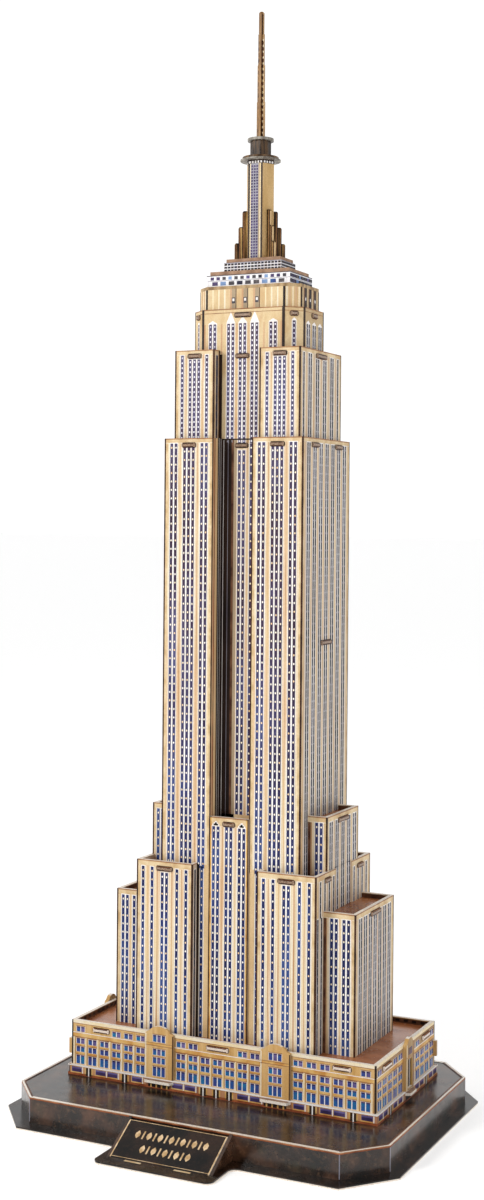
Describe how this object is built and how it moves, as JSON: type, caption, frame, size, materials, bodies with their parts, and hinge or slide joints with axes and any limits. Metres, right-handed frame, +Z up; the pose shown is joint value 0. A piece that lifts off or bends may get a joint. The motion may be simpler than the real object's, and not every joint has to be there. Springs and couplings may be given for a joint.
{
  "type": "miniature tower model",
  "caption": "Free-standing stepped tower model of slotted printed foam boards, on a clipped-corner plinth with a sloping nameplate.",
  "frame": {"origin": "middle of the base plate, on the ground", "axes": "+Z up along the tower, front with the nameplate towards -Y, +X to the right seen from the front"},
  "size_m": [0.212, 0.186, 0.5637],
  "materials": {
    "facade_print": "printed paper face on foam board, satin",
    "roof_print": "printed copper-brown paper face, satin",
    "marble_print": "printed dark marble face, glossy laminate",
    "street_print": "printed shopfront face, satin",
    "mast_print": "printed bronze face, satin",
    "plain_board": "bare foam board, matt"
  },
  "bodies": {
    "root": {"antenna_cross_board": "mast_print", "antenna_front_board": "mast_print", "attic_roof": "roof_print", "attic_wall": "facade_print", "back_centre_wall": "facade_print", "back_left_block_wall": "facade_print", "back_right_block_wall": "facade_print", "base_back_wall": "marble_print", "base_flange": "marble_print", "base_front_wall": "marble_print", "base_left_surround": "marble_print", "base_ribs": "plain_board", "base_right_surround": "marble_print", "base_top_plate": "marble_print", "centre_roofs": "roof_print", "crown_back_wall": "facade_print", "crown_front_wall": "facade_print", "crown_left_wall": "facade_print", "crown_right_wall": "facade_print", "crown_top_plate": "roof_print", "deck_roof": "roof_print", "deck_wall": "facade_print", "end_portals": "facade_print", "front_centre_wall": "facade_print", "front_left_block_wall": "facade_print", "front_right_block_wall": "facade_print", "lantern_roof": "roof_print", "lantern_wall": "facade_print", "left_upper_wing_wall": "facade_print", "left_wing_wall": "facade_print", "mast_collar": "mast_print", "mast_collar_cap": "mast_print", "mast_drum": "mast_print", "mast_head": "mast_print", "mast_tube": "mast_print", "mast_wings": "mast_print", "nameplate_board": "marble_print", "nameplate_cheeks": "marble_print", "podium_back_left_wall": "facade_print", "podium_front_right_wall": "facade_print", "podium_ribs": "plain_board", "podium_roof": "roof_print", "right_upper_wing_wall": "facade_print", "right_wing_wall": "facade_print", "setback_plate": "roof_print", "shaft_back_recess": "facade_print", "shaft_front_recess": "facade_print", "shaft_left_wall": "facade_print", "shaft_middle_plate": "plain_board", "shaft_right_wall": "facade_print", "shaft_top_plate": "roof_print", "street_band_back_left": "street_print", "street_band_front_right": "street_print", "street_canopies": "street_print", "street_portals": "facade_print", "upper_left_wall": "facade_print", "upper_right_wall": "facade_print", "upper_top_plate": "roof_print", "upper_wing_roofs": "roof_print", "wing_roofs": "roof_print"}
  },
  "joints": []
}
